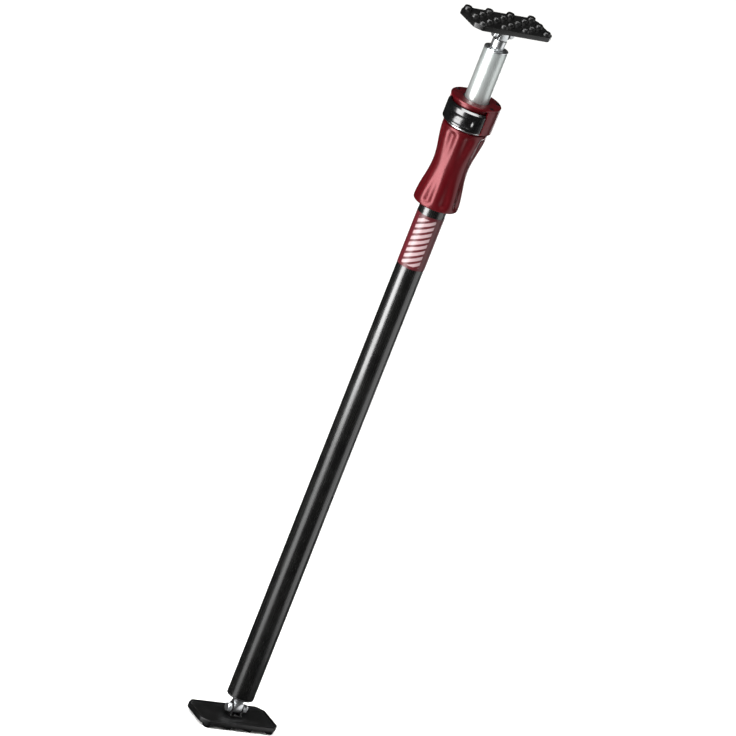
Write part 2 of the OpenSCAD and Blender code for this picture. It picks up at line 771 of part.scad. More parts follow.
// Hollow for the fingers, swept around the lever
module finger_hollow() {
    mid = (lever_bottom + lever_top) / 2 - hollow_drop;
    rotate([0, 0, -hollow_half]) rotate_extrude(angle = 2 * hollow_half)
        translate([collar_r - hollow_depth + hollow_r, mid]) circle(r = hollow_r);
}

// A coil spring as one swept wire
module coil(mean_r, wire_r, height, turns) {
    rings = round(turns * 16);
    sides = 8;
    rise = height - 2 * wire_r;
    points = [for (i = [0 : rings]) let (a = 360 * turns * i / rings, z = wire_r + rise * i / rings)
        for (j = [0 : sides - 1]) let (b = 360 * j / sides)
            [(mean_r + wire_r * cos(b)) * cos(a), (mean_r + wire_r * cos(b)) * sin(a), z + wire_r * sin(b)]];
    skin = [for (i = [0 : rings - 1]) for (j = [0 : sides - 1]) let (k = (j + 1) % sides)
        [i * sides + j, i * sides + k, (i + 1) * sides + k, (i + 1) * sides + j]];
    low = [[for (j = [0 : sides - 1]) sides - 1 - j]];
    high = [[for (j = [0 : sides - 1]) rings * sides + j]];
    polyhedron(points = points, faces = concat(skin, low, high));
}

// Springs that press the front of the plates down
module springs() {
    color("#a8aaac") rotate([0, 0, lever_dir]) for (side = [-1, 1]) {
        translate([spring_off, side * spring_side, spring_bottom])
            coil((spring_d - spring_wire) / 2, spring_wire / 2, spring_len, spring_turns);
    }
}

// Zinc plated inner tube
module inner_tube_body() {
    color("#c8cccc") ring(inner_r, inner_bore_r, inner_tube_bottom, inner_tube_top);
}

// Guide on the lower end of the inner tube
module piston() {
    color("#d8d8d2") difference() {
        union() {
            translate([0, 0, piston_z]) cylinder(r = outer_bore_r - slide_clear, h = piston_len);
            translate([0, 0, piston_z]) cylinder(r = inner_bore_r - press_clear, h = piston_len + piston_shank_len);
        }
        translate([0, 0, piston_z - cut]) cylinder(d = piston_bore_d, h = piston_len + piston_shank_len + 2 * cut);
    }
}

module lower_rubber_pad() { rubber_pad(); }
module lower_pad_plate() { pad_plate(); }
module lower_bracket() { bracket(); }
module lower_rivets() { rivets(); }
module lower_pivot_bolt() { pivot_bolt(); }
module lower_washers() { washers(); }
module lower_pivot_nut() { pivot_nut(); }
module lower_swivel_stud() { swivel_stud(lower_reach, lower_neck_d, lower_stem_d); }
module lower_stud_clip() { stud_clip(lower_reach); }
module lower_tube_plug() { tube_plug(lower_reach, outer_bore_r, outer_r); }
module outer_tube() { outer_tube_body(); }
module label_band() { label(); }
module tube_guide_bush() { guide_bush(); }
module grip() { grip_body(); }
module threaded_sleeve() { screw_sleeve(); }
module thrust_washer() { grip_thrust_washer(); }
module sleeve_clip() { screw_sleeve_clip(); }
module collar_housing() { housing(); }
module collar_cap() { cap(); }
module cap_screws() { screws(); }
module wiper_ring() { wiper(); }
module release_lever() { lever(); }
module lever_pins() { pins(); }
module clutch_plates() { plates(); }
module clutch_pivot_pin() { clutch_pivot_pin_body(); }
module clutch_springs() { springs(); }
module inner_tube() { inner_tube_body(); }
module piston_guide() { piston(); }
module upper_tube_plug() { at_top() tube_plug(upper_reach, inner_bore_r, inner_r); }
module upper_stud_clip() { at_top() stud_clip(upper_reach); }
module upper_swivel_stud() { at_top() swivel_stud(upper_reach, upper_stem_d, upper_stem_d); }
module upper_pivot_nut() { at_top() pivot_nut(); }
module upper_washers() { at_top() washers(); }
module upper_pivot_bolt() { at_top() pivot_bolt(); }
module upper_rivets() { at_top() rivets(); }
module upper_bracket() { at_top() bracket(); }
module upper_pad_plate() { at_top() pad_plate(); }
module upper_rubber_pad() { at_top() rubber_pad(); }

lower_rubber_pad();
lower_pad_plate();
lower_bracket();
lower_rivets();
lower_pivot_bolt();
lower_washers();
lower_pivot_nut();
lower_swivel_stud();
lower_stud_clip();
lower_tube_plug();
outer_tube();
label_band();
tube_guide_bush();
grip();
threaded_sleeve();
thrust_washer();
sleeve_clip();
collar_housing();
collar_cap();
cap_screws();
wiper_ring();
release_lever();
lever_pins();
clutch_plates();
clutch_pivot_pin();
clutch_springs();
inner_tube();
piston_guide();
upper_tube_plug();
upper_stud_clip();
upper_swivel_stud();
upper_pivot_nut();
upper_washers();
upper_pivot_bolt();
upper_rivets();
upper_bracket();
upper_pad_plate();
upper_rubber_pad();
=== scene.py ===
# %% [markdown]
# # Telescopic drywall support pole
# A pole that holds a plasterboard sheet against the ceiling while it is screwed on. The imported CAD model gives
# every rigid piece its place and size. This notebook adds the camera, the studio, the finishes, and the rounded
# and moulded detail that plain solids lack.
# Blender works in metres. Lengths are written in millimetres, as on a drawing, and multiplied by MM.

# %% Load the frame
import json
import math

import bmesh
import bpy
from mathutils import Matrix, Vector


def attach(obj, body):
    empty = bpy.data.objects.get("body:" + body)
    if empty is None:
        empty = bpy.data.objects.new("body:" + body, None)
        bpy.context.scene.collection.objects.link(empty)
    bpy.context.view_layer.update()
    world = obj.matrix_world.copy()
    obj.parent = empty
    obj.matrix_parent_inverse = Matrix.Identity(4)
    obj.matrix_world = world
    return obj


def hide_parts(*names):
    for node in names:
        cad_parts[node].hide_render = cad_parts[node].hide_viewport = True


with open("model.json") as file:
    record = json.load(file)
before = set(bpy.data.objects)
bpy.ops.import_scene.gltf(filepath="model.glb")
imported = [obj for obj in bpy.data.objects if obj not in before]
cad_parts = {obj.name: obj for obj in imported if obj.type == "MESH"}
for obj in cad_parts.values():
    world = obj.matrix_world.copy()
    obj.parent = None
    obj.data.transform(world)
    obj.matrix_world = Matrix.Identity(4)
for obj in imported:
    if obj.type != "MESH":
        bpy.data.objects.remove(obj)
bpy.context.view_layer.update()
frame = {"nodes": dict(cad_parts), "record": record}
nodes = frame["nodes"]
record = frame["record"]
MM = 0.001
slot_of = {row["node"]: row["material_slot"] for row in record["subparts"]}
body_of = {node: body for body, names in record["behaviour"]["bodies"].items() for node in names}

# %% [markdown]
# ## Camera
# The pole is photographed leaning to the right. Here it stands upright, so the camera rolls instead. The pads look
# almost the same size in the photograph, which means a long lens from far away: ten metres.

# %% Place the camera
LEAN = math.radians(21.604)
VIEW_TURN = math.radians(-34.5)
VIEW_RISE = math.radians(20.0)
VIEW_DISTANCE = 10.0
FIELD = 0.8975
AIM_HEIGHT = 0.5005
AIM_SIDE = -0.0023

side = Vector((math.cos(VIEW_TURN), math.sin(VIEW_TURN), 0))
back = Vector((math.sin(VIEW_TURN) * math.cos(VIEW_RISE), -math.cos(VIEW_TURN) * math.cos(VIEW_RISE),
               math.sin(VIEW_RISE)))
up = back.cross(side)
aim = Vector((0, 0, AIM_HEIGHT)) + side * AIM_SIDE
turned = Matrix.Rotation(LEAN, 3, back) @ Matrix((side, up, back)).transposed()
camera_data = bpy.data.cameras.new("camera")
camera_data.sensor_width = 36.0
camera_data.lens = camera_data.sensor_width * VIEW_DISTANCE / FIELD
camera_data.clip_end = 50.0
camera = bpy.data.objects.new("camera", camera_data)
camera.matrix_world = Matrix.Translation(aim + back * VIEW_DISTANCE) @ turned.to_4x4()
bpy.context.scene.collection.objects.link(camera)
bpy.context.scene.camera = camera
print("lens mm:", round(camera_data.lens, 1))

# %% [markdown]
# ## Studio
# A gloss black tube shows every lamp as a stripe, so the stripes in the photograph say where the softboxes stood:
# one half left of the camera and a weaker one far to the right. The left stripe fades towards the foot, so the left
# box has a dim one hung under it. A tube seen from above mirrors what is lower than itself, so these boxes reach below
# the floor, which throws no shadow and isn't mirrored. A wide lamp high in front draws the bright edges of the lever
# and the knobs, and a low one behind lights the back. A broad, even light from above whitens the floor, and metal
# doesn't mirror it.

# %% Colours and lamps
def srgb(code):
    """Linear colour of an sRGB hex code."""
    out = []
    for i in (0, 2, 4):
        v = int(code[i:i + 2], 16) / 255
        out.append(v / 12.92 if v <= 0.04045 else ((v + 0.055) / 1.055) ** 2.4)
    return (*out, 1.0)


def softbox(name, turn, distance, width, low, high, power, rise=0.0):
    """A softbox facing the pole; turn is counted in degrees from the camera's side, to the right."""
    data = bpy.data.lights.new(name, "AREA")
    data.shape = "RECTANGLE"
    data.size = width
    data.size_y = high - low
    data.energy = power
    angle = VIEW_TURN + math.radians(turn)
    level = math.cos(math.radians(rise))
    away = Vector((math.sin(angle) * level, -math.cos(angle) * level, math.sin(math.radians(rise))))
    centre = Vector((0, 0, (low + high) / 2)) + away * distance
    lamp = bpy.data.objects.new(name, data)
    lamp.matrix_world = Matrix.Translation(centre) @ away.to_track_quat("Z", "Y").to_matrix().to_4x4()
    lamp.visible_camera = False
    bpy.context.scene.collection.objects.link(lamp)
    print(name, [round(v, 2) for v in centre])


softbox("softbox_left", turn=-46, distance=0.75, width=0.46, low=0.11, high=1.30, power=23)
softbox("softbox_left_low", turn=-46, distance=0.75, width=0.46, low=-0.50, high=0.11, power=2.4)
softbox("softbox_right", turn=88, distance=0.80, width=0.70, low=-0.35, high=1.20, power=4.6)
softbox("softbox_back", turn=160, distance=2.2, width=0.8, low=-0.65, high=0.42, power=10)
softbox("softbox_high", turn=-7, distance=1.6, width=1.8, low=0.6, high=1.2, power=48, rise=62)

sun_data = bpy.data.lights.new("sky_light", "SUN")
sun_data.energy = 3.2
sun_data.angle = math.radians(70)
sun = bpy.data.objects.new("sky_light", sun_data)
sun.visible_glossy = False
bpy.context.scene.collection.objects.link(sun)

# %% World and floor
world = bpy.data.worlds.new("studio")
world.use_nodes = True
bpy.context.scene.world = world
sky = world.node_tree
dim = sky.nodes["Background"]
dim.inputs["Color"].default_value = srgb("ffffff")
dim.inputs["Strength"].default_value = 0.04
backdrop = sky.nodes.new("ShaderNodeBackground")
backdrop.inputs["Color"].default_value = srgb("ffffff")
backdrop.inputs["Strength"].default_value = 1.0
seen = sky.nodes.new("ShaderNodeLightPath")
either = sky.nodes.new("ShaderNodeMixShader")
sky.links.new(seen.outputs["Is Camera Ray"], either.inputs["Fac"])
sky.links.new(dim.outputs[0], either.inputs[1])
sky.links.new(backdrop.outputs[0], either.inputs[2])
sky.links.new(either.outputs[0], sky.nodes["World Output"].inputs["Surface"])

bm = bmesh.new()
bmesh.ops.create_grid(bm, x_segments=1, y_segments=1, size=14)
floor_mesh = bpy.data.meshes.new("floor")
bm.to_mesh(floor_mesh)
bm.free()
floor = bpy.data.objects.new("floor", floor_mesh)
floor.visible_glossy = False
floor.visible_shadow = False
bpy.context.scene.collection.objects.link(floor)
bpy.context.scene.view_settings.view_transform = "Standard"
print("floor and world ready")

# %% [markdown]
# ## Finishes
# Each finish starts from what the real surface is. One helper adds a shader node with its settings and links, and
# one starts a material. Patterns read Object coordinates, which are metres on every piece here, so a pattern's
# scale is one over its real size in metres.

# %% Helpers for materials
def add(tree, kind, inputs=(), **settings):
    """Adds a node, applies its settings, then sets or links its inputs."""
    node = tree.nodes.new(kind)
    for key, value in settings.items():
        setattr(node, key, value)
    for socket, value in dict(inputs).items():
        if isinstance(value, bpy.types.NodeSocket):
            tree.links.new(value, node.inputs[socket])
        else:
            node.inputs[socket].default_value = value
    return node


def start(name, **constants):
    """A material with its shader's constants set, and its Object coordinates."""
    mat = bpy.data.materials.new(name)
    mat.use_nodes = True
    shader = mat.node_tree.nodes["Principled BSDF"]
    for key, value in constants.items():
        shader.inputs[key.replace("_", " ")].default_value = value
    place = add(mat.node_tree, "ShaderNodeTexCoord").outputs["Object"]
    return mat, mat.node_tree, shader, place


def noise(tree, place, size, stretch=(1, 1, 1), detail=2.0, rough=0.5):
    """Noise whose features are about size millimetres wide; stretch lengthens them along an axis."""
    scaled = add(tree, "ShaderNodeMapping", {"Vector": place, "Scale": [1 / s for s in stretch]})
    return add(tree, "ShaderNodeTexNoise", {"Vector": scaled.outputs[0], "Scale": 1 / (size * MM),
                                            "Detail": detail, "Roughness": rough}).outputs[0]


def spread(tree, value, low, high, from_low=0.3, from_high=0.7):
    """Maps a value, by default a noise's, to the range between low and high."""
    return add(tree, "ShaderNodeMapRange", {"Value": value, "From Min": from_low, "From Max": from_high,
                                            "To Min": low, "To Max": high}).outputs[0]


def tint(tree, share, first, second):
    """A colour between two others, each a hex code or another node's output."""
    first, second = (srgb(end) if isinstance(end, str) else end for end in (first, second))
    return add(tree, "ShaderNodeMix", {0: share, 6: first, 7: second}, data_type="RGBA").outputs[2]


def maths(tree, kind, first, second=0.0):
    """A sum or another simple operation on one or two values."""
    return add(tree, "ShaderNodeMath", {0: first, 1: second}, operation=kind).outputs[0]


def relief(tree, shader, height, depth, strength=1.0):
    """Bump whose full height is depth millimetres."""
    bump = add(tree, "ShaderNodeBump", {"Height": height, "Distance": depth * MM, "Strength": strength})
    tree.links.new(bump.outputs[0], shader.inputs["Normal"])


FINISH = {}
print("material helpers ready")

# %% [markdown]
# ### Floor
# A plain painted board: matt, so it takes soft shadows and nothing else.

# %% Floor paint
mat, tree, shader, place = start("matt_floor_paint", IOR=1.3)
shader.inputs["Base Color"].default_value = srgb("f6f6f4")
grain = noise(tree, place, 3.0)
tree.links.new(spread(tree, grain, 0.85, 0.95), shader.inputs["Roughness"])
floor_mesh.materials.append(mat)
print(mat.name)

# %% [markdown]
# ### Black tube
# The outer tube is powder coated steel. Powder melts into a gloss skin that is never quite flat: waves about 2 mm
# wide, called orange peel, make its reflections shiver. Handling leaves long faint rub marks along the tube. On the
# thread, the steel sleeve of the grip has rubbed the coat thin, so grey shows through on the crests.

# %% Gloss black powder coat
WORN_FROM = 0.7325

mat, tree, shader, place = start("gloss_black_powder_coat", IOR=1.7)
peel = noise(tree, place, 2.2, detail=1.0)
rubs = noise(tree, place, 1.4, stretch=(1, 1, 60), detail=3.0)
cloud = noise(tree, place, 30.0)
z = add(tree, "ShaderNodeSeparateXYZ", {0: place}).outputs[2]
on_thread = spread(tree, z, 0.0, 1.0, WORN_FROM, WORN_FROM + MM)
worn = maths(tree, "MULTIPLY", on_thread, spread(tree, rubs, 0.0, 0.55, 0.45, 0.7))
black = tint(tree, spread(tree, cloud, 0, 1), "040404", "080807")
tree.links.new(tint(tree, worn, black, "5a5a58"), shader.inputs["Base Color"])
gloss = maths(tree, "ADD", spread(tree, rubs, 0.20, 0.30), spread(tree, cloud, -0.02, 0.04))
tree.links.new(gloss, shader.inputs["Roughness"])
relief(tree, shader, peel, 0.02, 0.5)
FINISH["tube_black"] = mat
print(mat.name)

# %% [markdown]
# ### Red label
# The label is a printed film with a satin face. The printing here is generic: pale slanted bars, as on hazard tape.
# They follow the tube, so the pattern works with the angle around the pole, turned into millimetres of arc. The bars
# stop at a margin, and every printed edge is a third of a millimetre soft.

# %% Printed film
LABEL_LOW, LABEL_HIGH = 645.0, 716.0
TUBE_R = 17.5
BAR_FACE = math.degrees(VIEW_TURN) - 90 - 5
BAR_PITCH, BAR_SHARE, BAR_LEAN = 8.0, 0.58, 0.55
BAR_REACH, BAR_RISE, PRINT_SOFT = 11.8, 31.6, 0.3

mat, tree, shader, place = start("printed_label_film", Roughness=0.40, IOR=1.45)
faced = add(tree, "ShaderNodeMapping", {"Vector": place, "Rotation": (0, 0, -math.radians(BAR_FACE))}).outputs[0]
axes = add(tree, "ShaderNodeSeparateXYZ", {0: faced}).outputs
arc = maths(tree, "MULTIPLY", maths(tree, "ARCTAN2", axes[1], axes[0]), TUBE_R)
rise = maths(tree, "SUBTRACT", maths(tree, "MULTIPLY", axes[2], 1 / MM), (LABEL_LOW + LABEL_HIGH) / 2)
slant = maths(tree, "SUBTRACT", rise, maths(tree, "MULTIPLY", arc, BAR_LEAN))
wave = maths(tree, "PINGPONG", maths(tree, "ADD", slant, BAR_PITCH * 20), BAR_PITCH / 2)
bar_edge = BAR_PITCH / 2 * BAR_SHARE
bars = spread(tree, wave, 1.0, 0.0, bar_edge - PRINT_SOFT / 2, bar_edge + PRINT_SOFT / 2)
across = spread(tree, maths(tree, "ABSOLUTE", arc), 1.0, 0.0, BAR_REACH, BAR_REACH + PRINT_SOFT)
along = spread(tree, maths(tree, "ABSOLUTE", rise), 1.0, 0.0, BAR_RISE, BAR_RISE + PRINT_SOFT)
printed = maths(tree, "MULTIPLY", maths(tree, "MULTIPLY", bars, across), along)
ink = tint(tree, spread(tree, noise(tree, place, 9.0), 0, 1), "38060c", "430811")
tree.links.new(tint(tree, printed, ink, "836e70"), shader.inputs["Base Color"])
relief(tree, shader, noise(tree, place, 3.0, stretch=(1, 1, 3)), 0.02, 0.4)
FINISH["label_red"] = mat
print(mat.name)

# %% [markdown]
# ### Red plastic
# Grip, collar and cap are moulded in dark red ABS. The mould was polished, so the skin is glossy, but the melt left
# faint waves, and hands leave patches that are a little duller.

# %% Dark red ABS
mat, tree, shader, place = start("moulded_dark_red_abs", IOR=1.57, Specular_Tint=(1.0, 0.38, 0.41, 1.0))
flow = noise(tree, place, 14.0, stretch=(1, 1, 3), detail=3.0)
skin = noise(tree, place, 0.9, detail=2.0)
tree.links.new(tint(tree, spread(tree, flow, 0, 1), "300104", "380105"), shader.inputs["Base Color"])
tree.links.new(maths(tree, "ADD", spread(tree, flow, 0.26, 0.36), spread(tree, skin, -0.015, 0.02)),
               shader.inputs["Roughness"])
relief(tree, shader, skin, 0.012, 0.5)
FINISH["grip_red"] = mat
print(mat.name)

# %% [markdown]
# ### Black plastic of the lever
# Glass filled nylon with a polished face: near black, glossy, with smudges where the fingers press.

# %% Polished black nylon
mat, tree, shader, place = start("polished_black_nylon", IOR=1.65)
smudge = noise(tree, place, 7.0, detail=4.0, rough=0.6)
skin = noise(tree, place, 0.8)
tree.links.new(tint(tree, spread(tree, smudge, 0, 1), "030303", "070708"), shader.inputs["Base Color"])
tree.links.new(spread(tree, smudge, 0.15, 0.25), shader.inputs["Roughness"])
relief(tree, shader, skin, 0.01, 0.4)
FINISH["lever_black"] = mat
print(mat.name)

# %% [markdown]
# ### Zinc
# The inner tube is drawn steel, zinc plated and bright. Drawing leaves fine lines along the tube, and the guides
# draw more each time it slides. The plating has soft cloudy patches. The bolts, nuts, washers and studs have the
# same coat, but they tumbled in a barrel, so their surface is even and slightly grainy.

# %% Zinc plated tube and small parts
mat, tree, shader, place = start("bright_zinc_drawn_tube", Metallic=0.8)
lines = noise(tree, place, 0.7, stretch=(1, 1, 140), detail=3.0, rough=0.6)
patches = noise(tree, place, 16.0, stretch=(1, 1, 2.5), detail=3.0)
cloudy = tint(tree, spread(tree, patches, 0, 1), "b4bab8", "c6cbc9")
tree.links.new(tint(tree, spread(tree, lines, 0, 0.55), cloudy, "949b99"), shader.inputs["Base Color"])
tree.links.new(maths(tree, "ADD", spread(tree, lines, 0.32, 0.42), spread(tree, patches, -0.03, 0.04)),
               shader.inputs["Roughness"])
relief(tree, shader, lines, 0.012, 0.5)
FINISH["zinc_tube"] = mat
print(mat.name)

mat, tree, shader, place = start("barrel_zinc", Metallic=1.0)
grain = noise(tree, place, 0.6, detail=3.0)
stain = noise(tree, place, 5.0, detail=2.0)
tree.links.new(tint(tree, spread(tree, stain, 0, 1), "c2c6c8", "d8dadb"), shader.inputs["Base Color"])
tree.links.new(spread(tree, grain, 0.28, 0.40), shader.inputs["Roughness"])
relief(tree, shader, grain, 0.008, 0.3)
FINISH["zinc_small"] = mat
print(mat.name)

# %% [markdown]
# ### Small black finishes
# The pad plates and brackets are pressed steel in thin black paint, a little duller than the tube. The plugs are
# black nylon, and the cap screws have a black oxide skin that looks like dark oiled metal.

# %% Black paint, black nylon and black oxide
for slot, name, low, high, rough, size, depth, metal in (
        ("bracket_black", "black_painted_pressing", "030303", "080808", (0.30, 0.42), 1.6, 0.02, 0.0),
        ("plug_black", "black_moulded_nylon", "101112", "191a1b", (0.38, 0.50), 0.7, 0.015, 0.0),
        ("screw_black", "black_oxide_steel", "1c1d20", "2b2c30", (0.30, 0.42), 0.5, 0.01, 1.0)):
    mat, tree, shader, place = start(name, Metallic=metal)
    fine = noise(tree, place, size, detail=2.0)
    wide = noise(tree, place, size * 9, detail=3.0)
    tree.links.new(tint(tree, spread(tree, wide, 0, 1), low, high), shader.inputs["Base Color"])
    tree.links.new(spread(tree, wide, *rough), shader.inputs["Roughness"])
    relief(tree, shader, fine, depth, 0.6)
    FINISH[slot] = mat
    print(mat.name)

# %% [markdown]
# ### Rubber
# The pads are moulded rubber, deep black and matt, with a fine eroded texture from the mould. Plaster dust settles
# on them in soft patches.

# %% Moulded black rubber
mat, tree, shader, place = start("moulded_black_rubber", IOR=1.48)
grit = noise(tree, place, 0.7, detail=3.0, rough=0.6)
dust = noise(tree, place, 12.0, detail=4.0, rough=0.6)
tree.links.new(tint(tree, spread(tree, dust, 0, 1, 0.35, 0.75), "020202", "070707"), shader.inputs["Base Color"])
tree.links.new(spread(tree, dust, 0.30, 0.42), shader.inputs["Roughness"])
relief(tree, shader, grit, 0.04, 0.6)
FINISH["pad_rubber"] = mat
print(mat.name)

# %% [markdown]
# ### Hidden metals and guides
# The springs, plates and snap rings are oiled spring steel, darker than zinc. The guides are natural nylon, an off
# white that light enters a little way.

# %% Spring steel and natural nylon
mat, tree, shader, place = start("oiled_spring_steel", Metallic=1.0)
film = noise(tree, place, 4.0, detail=3.0)
tree.links.new(tint(tree, spread(tree, film, 0, 1), "77797d", "93959a"), shader.inputs["Base Color"])
tree.links.new(spread(tree, film, 0.22, 0.40), shader.inputs["Roughness"])
FINISH["spring_steel"] = mat
print(mat.name)

mat, tree, shader, place = start("natural_nylon", IOR=1.53, Subsurface_Weight=0.15, Subsurface_Scale=0.002)
haze = noise(tree, place, 5.0, detail=2.0)
tree.links.new(tint(tree, spread(tree, haze, 0, 1), "cfcfc4", "dddcd2"), shader.inputs["Base Color"])
tree.links.new(spread(tree, haze, 0.38, 0.5), shader.inputs["Roughness"])
FINISH["guide_plastic"] = mat
print(mat.name)

# %% Give every CAD node its finish
for name, obj in nodes.items():
    mat = FINISH[slot_of[name]]
    for held in obj.material_slots:
        held.material = mat
    if not obj.material_slots:
        obj.data.materials.append(mat)
print("finishes:", len(FINISH))

# %% [markdown]
# ## Building pieces
# Most pieces are turned or moulded, so they start as an outline that is spun around an axis. Corners of an outline
# are given a radius, because no real edge is perfectly sharp and a rounded edge is what catches a highlight. Other
# pieces start as a merged copy of their CAD solid, whose edges are then bevelled.

# %% Helpers for meshes
def rounded(corners, steps=4):
    """Turns the (r, z, radius) corners of an outline into points, with an arc at each corner that has a radius."""
    out = []
    for i, (r, z, radius) in enumerate(corners):
        here = Vector((r, z))
        if not radius:
            out.append(here)
            continue
        before = (Vector(corners[i - 1][:2]) - here).normalized()
        after = (Vector(corners[(i + 1) % len(corners)][:2]) - here).normalized()
        half = before.angle(after) / 2
        centre = here + (before + after).normalized() * radius / math.sin(half)
        first = here + before * radius / math.tan(half) - centre
        last = here + after * radius / math.tan(half) - centre
        out += [centre + first.slerp(last, k / steps).normalized() * radius for k in range(steps + 1)]
    return out


def lathe(outline, segments, closed=True, angle=math.tau, start_angle=0.0):
    """Spins an outline in millimetres around Z; a closed outline over a part turn is filled at both ends."""
    bm = bmesh.new()
    turn_to = Matrix.Rotation(start_angle, 3, "Z")
    verts = [bm.verts.new(turn_to @ Vector((r, 0, z)) * MM) for r, z in outline]
    edges = [bm.edges.new(pair) for pair in zip(verts, verts[1:] + (verts[:1] if closed else []))]
    full = angle > math.tau - 1e-6
    geom = verts + edges if full else [bm.faces.new(verts)]
    bmesh.ops.spin(bm, geom=geom, cent=(0, 0, 0), axis=(0, 0, 1), angle=angle, steps=segments, use_merge=full)
    bmesh.ops.remove_doubles(bm, verts=bm.verts, dist=1e-6)
    bmesh.ops.recalc_face_normals(bm, faces=bm.faces)
    return bm


def join(bm, other, place=Matrix()):
    """Adds another bmesh to this one."""
    mesh = bpy.data.meshes.new("joined")
    other.transform(place)
    other.to_mesh(mesh)
    other.free()
    bm.from_mesh(mesh)
    bpy.data.meshes.remove(mesh)


def scale_radius(vert, share):
    """Moves a point towards the Z axis or away from it."""
    vert.co.x *= share
    vert.co.y *= share


def bevel(bm, edges, width, segments):
    bmesh.ops.bevel(bm, geom=list(edges), affect="EDGES", offset=width * MM, offset_type="OFFSET",
                    segments=segments, profile=0.5, material=-1, clamp_overlap=False)


def keener(edge, degrees):
    """Whether an edge between two faces is sharper than an angle."""
    return len(edge.link_faces) == 2 and edge.calc_face_angle() > math.radians(degrees)


def make_piece(name, bm, *stands_for, sharp=32):
    """Makes a piece that rides and is finished like the CAD node that it stands for."""
    mesh = bpy.data.meshes.new(name)
    bm.to_mesh(mesh)
    bm.free()
    mesh.shade_smooth()
    mesh.set_sharp_from_angle(angle=math.radians(sharp))
    mesh.materials.append(FINISH[slot_of[stands_for[0]]])
    piece = bpy.data.objects.new(name, mesh)
    bpy.context.scene.collection.objects.link(piece)
    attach(piece, body_of[stands_for[0]])
    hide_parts(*stands_for)
    print(name, "faces:", len(mesh.polygons))


def bevelled_copy(name, node, width):
    """A merged copy of a CAD node with a small radius on its sharp edges."""
    bm = bmesh.new()
    bm.from_mesh(nodes[node].data)
    bmesh.ops.remove_doubles(bm, verts=bm.verts, dist=2e-6)
    bmesh.ops.dissolve_limit(bm, angle_limit=math.radians(0.6), verts=bm.verts, edges=bm.edges)
    bevel(bm, [e for e in bm.edges if keener(e, 40)], width, 2)
    make_piece(name, bm, node)


TOTAL = 981.0
ENDS = {"lower": Matrix(), "upper": Matrix.Translation((0, 0, TOTAL * MM)) @ Matrix.Rotation(math.pi, 4, "X")}
print("mesh helpers ready")

# %% [markdown]
# ## Rubber pads
# Each foot is a moulded rubber block with cut corners, a pocket for the steel plate and 18 knobs that bite into
# board or floor. The block starts as a cube whose upright edges are bevelled, first into the cut corners and then
# into small radii. The pocket is an inset pushed down. A knob is spun, and its rounded end catches the light.

# %% Pad block and knobs
PAD_LEN, PAD_W, PAD_LOW, PAD_HIGH, PLATE_Z = 112.0, 56.0, 4.5, 11.0, 7.5
PAD_CHAMFER, PAD_CORNER_R, PAD_RIM, RIM_R, SOLE_R = 9.0, 2.0, 4.0, 0.9, 0.8
KNOB_PITCH, KNOB_ROW, KNOB_R, KNOB_END_R, KNOB_ROOT, KNOB_SHOULDER = 30.5, 10.4, 5.7, 4.5, 6.0, 4.4


def upright(edge):
    low, high = (v.co for v in edge.verts)
    return abs(low.x - high.x) < 1e-6 and abs(low.y - high.y) < 1e-6


def pad():
    """A lower pad's block and knobs."""
    bm = bmesh.new()
    size = Matrix.Diagonal((PAD_LEN * MM, PAD_W * MM, (PAD_HIGH - PAD_LOW) * MM, 1))
    bmesh.ops.create_cube(bm, size=1, matrix=Matrix.Translation((0, 0, (PAD_LOW + PAD_HIGH) / 2 * MM)) @ size)
    bevel(bm, [e for e in bm.edges if upright(e)], PAD_CHAMFER, 1)
    bevel(bm, [e for e in bm.edges if upright(e)], PAD_CORNER_R, 3)
    top = [f for f in bm.faces if f.normal.z > 0.9]
    bmesh.ops.inset_region(bm, faces=top, thickness=PAD_RIM * MM, use_even_offset=True)
    pocket = bmesh.ops.extrude_face_region(bm, geom=top)["geom"]
    bmesh.ops.delete(bm, geom=top, context="FACES_ONLY")
    bmesh.ops.translate(bm, verts=[v for v in pocket if isinstance(v, bmesh.types.BMVert)],
                        vec=(0, 0, (PLATE_Z - PAD_HIGH) * MM))
    bm.normal_update()
    rims = [e for e in bm.edges
            if keener(e, 60) and not upright(e) and min(v.co.z for v in e.verts) > (PLATE_Z + 1) * MM]
    bevel(bm, rims, RIM_R, 3)
    soles = [e for e in bm.edges if keener(e, 60) and max(v.co.z for v in e.verts) < (PAD_LOW + 0.1) * MM]
    bevel(bm, soles, SOLE_R, 3)
    knob = rounded([(0, KNOB_ROOT, 0), (KNOB_R, KNOB_ROOT, 0), (KNOB_R, KNOB_SHOULDER, 0.4), (KNOB_END_R, 0, 1.9),
                    (0, 0, 0)], 5)
    for row in range(-2, 3):
        count = 4 - row % 2
        for i in range(count):
            spot = Matrix.Translation(((i - (count - 1) / 2) * KNOB_PITCH * MM, row * KNOB_ROW * MM, 0))
            join(bm, lathe(knob, 24, closed=False), spot)
    return bm


for end, place in ENDS.items():
    bm = pad()
    bm.transform(place)
    make_piece(end + "_pad_moulding", bm, end + "_rubber_pad")

# %% [markdown]
# ## Plates, brackets, rivets
# The plate and the bracket are pressed steel. Pressing rounds their edges a little, so their solids are copied and
# bevelled. The rivets get the low domes that a rivet set leaves.

